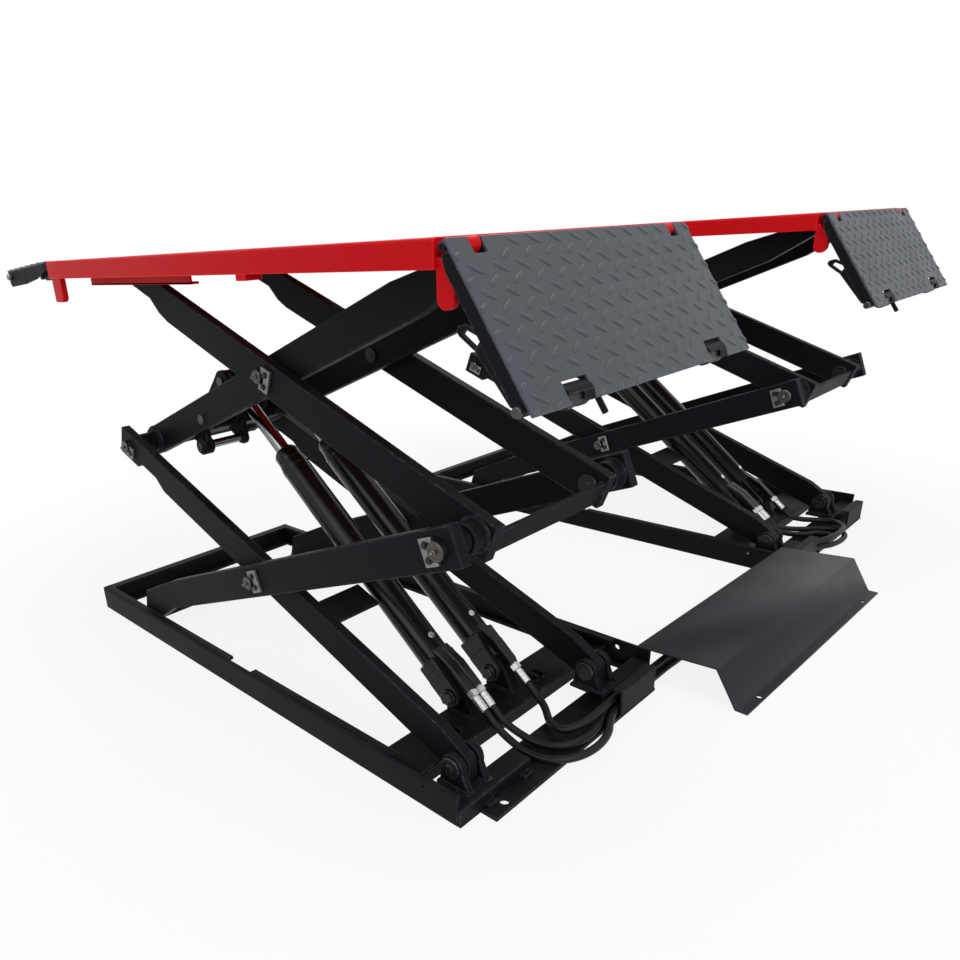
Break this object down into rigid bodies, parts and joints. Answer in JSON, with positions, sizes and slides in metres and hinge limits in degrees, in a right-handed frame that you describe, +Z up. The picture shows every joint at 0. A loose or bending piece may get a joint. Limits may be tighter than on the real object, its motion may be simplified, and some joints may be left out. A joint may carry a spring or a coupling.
{
  "type": "scissor car lift",
  "caption": "Double scissor car lift with twin platforms, checker plate ramps, nested scissor arms, hydraulic cylinders and a hose cover.",
  "frame": {"origin": "on the floor under the middle of the whole lift as drawn at a middle height", "axes": "+X towards the drive-on ramps that hang down, +Y from the near platform to the far one, +Z up"},
  "size_m": [1.7222, 1.956, 0.8992],
  "materials": {
    "frame_paint": "satin",
    "deck_paint": "gloss",
    "ramp_paint": "satin",
    "pin_steel": "brushed",
    "rod_chrome": "polished",
    "barrel_paint": "gloss",
    "hose_rubber": "matte"
  },
  "bodies": {
    "base": {"near_base_frame": "frame_paint", "far_base_frame": "frame_paint", "hose_cover": "ramp_paint", "near_hose_1": "hose_rubber", "near_hose_2": "hose_rubber", "near_hose_3": "hose_rubber", "crossing_hose_1": "hose_rubber", "crossing_hose_2": "hose_rubber", "crossing_hose_3": "hose_rubber", "far_hose_1": "hose_rubber", "far_hose_2": "hose_rubber", "far_hose_3": "hose_rubber"},
    "near_lower_inner": {"near_lower_inner_arms": "frame_paint", "near_inner_joint_pin_left": "pin_steel", "near_inner_joint_pin_right": "pin_steel"},
    "near_lower_outer": {"near_lower_outer_arms": "frame_paint", "near_lower_centre_pin_left": "pin_steel", "near_lower_centre_pin_right": "pin_steel", "near_outer_joint_pin_left": "pin_steel", "near_outer_joint_pin_right": "pin_steel"},
    "near_upper_outer": {"near_upper_outer_arms": "frame_paint", "near_upper_centre_pin_left": "pin_steel", "near_upper_centre_pin_right": "pin_steel"},
    "near_upper_inner": {"near_upper_inner_arms": "frame_paint"},
    "near_deck": {"near_platform": "deck_paint"},
    "near_lower_slider": {"near_lower_slide_axle": "pin_steel"},
    "near_upper_slider": {"near_upper_slide_axle": "pin_steel"},
    "near_cylinder_1_barrel": {"near_cylinder_1_barrel": "barrel_paint"},
    "near_cylinder_1_rod": {"near_cylinder_1_rod": "rod_chrome"},
    "near_cylinder_2_barrel": {"near_cylinder_2_barrel": "barrel_paint"},
    "near_cylinder_2_rod": {"near_cylinder_2_rod": "rod_chrome"},
    "near_front_ramp": {"near_front_ramp": "ramp_paint"},
    "near_front_ramp_rollers": {"near_front_ramp_rollers": "barrel_paint"},
    "near_rear_ramp": {"near_rear_ramp": "ramp_paint"},
    "near_rear_ramp_rollers": {"near_rear_ramp_rollers": "barrel_paint"},
    "far_lower_inner": {"far_lower_inner_arms": "frame_paint", "far_inner_joint_pin_left": "pin_steel", "far_inner_joint_pin_right": "pin_steel"},
    "far_lower_outer": {"far_lower_outer_arms": "frame_paint", "far_lower_centre_pin_left": "pin_steel", "far_lower_centre_pin_right": "pin_steel", "far_outer_joint_pin_left": "pin_steel", "far_outer_joint_pin_right": "pin_steel"},
    "far_upper_outer": {"far_upper_outer_arms": "frame_paint", "far_upper_centre_pin_left": "pin_steel", "far_upper_centre_pin_right": "pin_steel"},
    "far_upper_inner": {"far_upper_inner_arms": "frame_paint"},
    "far_deck": {"far_platform": "deck_paint"},
    "far_lower_slider": {"far_lower_slide_axle": "pin_steel"},
    "far_upper_slider": {"far_upper_slide_axle": "pin_steel"},
    "far_cylinder_1_barrel": {"far_cylinder_1_barrel": "barrel_paint"},
    "far_cylinder_1_rod": {"far_cylinder_1_rod": "rod_chrome"},
    "far_cylinder_2_barrel": {"far_cylinder_2_barrel": "barrel_paint"},
    "far_cylinder_2_rod": {"far_cylinder_2_rod": "rod_chrome"},
    "far_front_ramp": {"far_front_ramp": "ramp_paint"},
    "far_front_ramp_rollers": {"far_front_ramp_rollers": "barrel_paint"},
    "far_rear_ramp": {"far_rear_ramp": "ramp_paint"},
    "far_rear_ramp_rollers": {"far_rear_ramp_rollers": "barrel_paint"}
  },
  "joints": [
    {"name": "near_lift", "type": "hinge", "parent": "base", "child": "near_lower_inner", "pos_m": [0.57406, -0.66, 0.072], "axis": [0, 1, 0], "range_deg": [-12.15, 13.85]},
    {"name": "near_lower_scissor", "type": "hinge", "parent": "near_lower_inner", "child": "near_lower_outer", "pos_m": [0.05458, -0.66, 0.27297], "axis": [0, 1, 0], "range_deg": [-27.75, 24.35]},
    {"name": "near_inner_knee", "type": "hinge", "parent": "near_lower_inner", "child": "near_upper_inner", "pos_m": [-0.4649, -0.66, 0.47394], "axis": [0, 1, 0], "range_deg": [-27.75, 24.35]},
    {"name": "near_upper_scissor", "type": "hinge", "parent": "near_upper_inner", "child": "near_upper_outer", "pos_m": [0.05458, -0.66, 0.67492], "axis": [0, 1, 0], "range_deg": [-24.35, 27.75]},
    {"name": "near_deck_hinge", "type": "hinge", "parent": "near_upper_inner", "child": "near_deck", "pos_m": [0.57406, -0.66, 0.87589], "axis": [0, 1, 0], "range_deg": [-12.2, 13.9]},
    {"name": "near_lower_slide_pivot", "type": "hinge", "parent": "near_lower_outer", "child": "near_lower_slider", "pos_m": [-0.44902, -0.66, 0.03096], "axis": [0, 1, 0], "range_deg": [-12.2, 13.9]},
    {"name": "near_upper_slide_pivot", "type": "hinge", "parent": "near_upper_outer", "child": "near_upper_slider", "pos_m": [-0.4649, -0.66, 0.87589], "axis": [0, 1, 0], "range_deg": [-13.9, 12.2]},
    {"name": "near_cylinder_1_pivot", "type": "hinge", "parent": "base", "child": "near_cylinder_1_barrel", "pos_m": [0.43406, -0.75, 0.076], "axis": [0, 1, 0], "range_deg": [-15.85, 18.05], "deforming": ["near_hose_1", "near_hose_3"]},
    {"name": "near_cylinder_1_stroke", "type": "slide", "parent": "near_cylinder_1_barrel", "child": "near_cylinder_1_rod", "axis": [-0.7723, 0, 0.6352], "range_m": [-0.12349, 0.1407]},
    {"name": "near_cylinder_2_pivot", "type": "hinge", "parent": "base", "child": "near_cylinder_2_barrel", "pos_m": [0.43406, -0.626, 0.076], "axis": [0, 1, 0], "range_deg": [-15.85, 18.05], "deforming": ["near_hose_2"]},
    {"name": "near_cylinder_2_stroke", "type": "slide", "parent": "near_cylinder_2_barrel", "child": "near_cylinder_2_rod", "axis": [-0.7723, 0, 0.6352], "range_m": [-0.12349, 0.1407]},
    {"name": "near_front_ramp_hinge", "type": "hinge", "parent": "near_deck", "child": "near_front_ramp", "pos_m": [0.60506, -0.66, 0.88789], "axis": [0, -1, 0], "range_deg": [0, 56.3]},
    {"name": "near_front_ramp_roller_spin", "type": "hinge", "parent": "near_front_ramp", "child": "near_front_ramp_rollers", "pos_m": [0.72574, -0.66, 0.69792], "axis": [0, 1, 0], "continuous": true},
    {"name": "near_rear_ramp_hinge", "type": "hinge", "parent": "near_deck", "child": "near_rear_ramp", "pos_m": [-0.62094, -0.66, 0.88789], "axis": [0, -1, 0], "range_deg": [-4, 50]},
    {"name": "near_rear_ramp_roller_spin", "type": "hinge", "parent": "near_rear_ramp", "child": "near_rear_ramp_rollers", "pos_m": [-0.84504, -0.66, 0.8672], "axis": [0, 1, 0], "continuous": true},
    {"name": "far_lift", "type": "hinge", "parent": "base", "child": "far_lower_inner", "pos_m": [0.57406, 0.66, 0.072], "axis": [0, 1, 0], "range_deg": [-12.2, 13.9]},
    {"name": "far_lower_scissor", "type": "hinge", "parent": "far_lower_inner", "child": "far_lower_outer", "pos_m": [0.05458, 0.66, 0.27297], "axis": [0, 1, 0], "range_deg": [-27.75, 24.35]},
    {"name": "far_inner_knee", "type": "hinge", "parent": "far_lower_inner", "child": "far_upper_inner", "pos_m": [-0.4649, 0.66, 0.47394], "axis": [0, 1, 0], "range_deg": [-27.75, 24.35]},
    {"name": "far_upper_scissor", "type": "hinge", "parent": "far_upper_inner", "child": "far_upper_outer", "pos_m": [0.05458, 0.66, 0.67492], "axis": [0, 1, 0], "range_deg": [-24.35, 27.75]},
    {"name": "far_deck_hinge", "type": "hinge", "parent": "far_upper_inner", "child": "far_deck", "pos_m": [0.57406, 0.66, 0.87589], "axis": [0, 1, 0], "range_deg": [-12.2, 13.9]},
    {"name": "far_lower_slide_pivot", "type": "hinge", "parent": "far_lower_outer", "child": "far_lower_slider", "pos_m": [-0.44902, 0.66, 0.03096], "axis": [0, 1, 0], "range_deg": [-12.2, 13.9]},
    {"name": "far_upper_slide_pivot", "type": "hinge", "parent": "far_upper_outer", "child": "far_upper_slider", "pos_m": [-0.4649, 0.66, 0.87589], "axis": [0, 1, 0], "range_deg": [-13.9, 12.2]},
    {"name": "far_cylinder_1_pivot", "type": "hinge", "parent": "base", "child": "far_cylinder_1_barrel", "pos_m": [0.43406, 0.57, 0.076], "axis": [0, 1, 0], "range_deg": [-15.85, 18.05], "deforming": ["far_hose_1", "far_hose_3"]},
    {"name": "far_cylinder_1_stroke", "type": "slide", "parent": "far_cylinder_1_barrel", "child": "far_cylinder_1_rod", "axis": [-0.7723, 0, 0.6352], "range_m": [-0.12349, 0.1407]},
    {"name": "far_cylinder_2_pivot", "type": "hinge", "parent": "base", "child": "far_cylinder_2_barrel", "pos_m": [0.43406, 0.694, 0.076], "axis": [0, 1, 0], "range_deg": [-15.85, 18.05], "deforming": ["far_hose_2"]},
    {"name": "far_cylinder_2_stroke", "type": "slide", "parent": "far_cylinder_2_barrel", "child": "far_cylinder_2_rod", "axis": [-0.7723, 0, 0.6352], "range_m": [-0.12349, 0.1407]},
    {"name": "far_front_ramp_hinge", "type": "hinge", "parent": "far_deck", "child": "far_front_ramp", "pos_m": [0.60506, 0.66, 0.88789], "axis": [0, -1, 0], "range_deg": [0, 56.3]},
    {"name": "far_front_ramp_roller_spin", "type": "hinge", "parent": "far_front_ramp", "child": "far_front_ramp_rollers", "pos_m": [0.72574, 0.66, 0.69792], "axis": [0, 1, 0], "continuous": true},
    {"name": "far_rear_ramp_hinge", "type": "hinge", "parent": "far_deck", "child": "far_rear_ramp", "pos_m": [-0.62094, 0.66, 0.88789], "axis": [0, -1, 0], "range_deg": [-4, 50]},
    {"name": "far_rear_ramp_roller_spin", "type": "hinge", "parent": "far_rear_ramp", "child": "far_rear_ramp_rollers", "pos_m": [-0.84504, 0.66, 0.8672], "axis": [0, 1, 0], "continuous": true}
  ],
  "couplings": [
    {"joint": "near_lower_scissor", "follows": "near_lift", "ratio": -2},
    {"joint": "near_inner_knee", "follows": "near_lift", "ratio": -2},
    {"joint": "near_upper_scissor", "follows": "near_lift", "ratio": 2},
    {"joint": "near_deck_hinge", "follows": "near_lift", "ratio": 1},
    {"joint": "near_lower_slide_pivot", "follows": "near_lift", "ratio": 1},
    {"joint": "near_upper_slide_pivot", "follows": "near_lift", "ratio": -1},
    {"joint": "near_cylinder_1_pivot", "follows": "near_lift", "ratio": 1.3},
    {"joint": "near_cylinder_1_stroke", "follows": "near_lift", "m_per_rad": 0.58},
    {"joint": "near_cylinder_2_pivot", "follows": "near_lift", "ratio": 1.3},
    {"joint": "near_cylinder_2_stroke", "follows": "near_lift", "m_per_rad": 0.58},
    {"joint": "far_lift", "follows": "near_lift", "ratio": 1},
    {"joint": "far_lower_scissor", "follows": "near_lift", "ratio": -2},
    {"joint": "far_inner_knee", "follows": "near_lift", "ratio": -2},
    {"joint": "far_upper_scissor", "follows": "near_lift", "ratio": 2},
    {"joint": "far_deck_hinge", "follows": "near_lift", "ratio": 1},
    {"joint": "far_lower_slide_pivot", "follows": "near_lift", "ratio": 1},
    {"joint": "far_upper_slide_pivot", "follows": "near_lift", "ratio": -1},
    {"joint": "far_cylinder_1_pivot", "follows": "near_lift", "ratio": 1.3},
    {"joint": "far_cylinder_1_stroke", "follows": "near_lift", "m_per_rad": 0.58},
    {"joint": "far_cylinder_2_pivot", "follows": "near_lift", "ratio": 1.3},
    {"joint": "far_cylinder_2_stroke", "follows": "near_lift", "m_per_rad": 0.58}
  ]
}
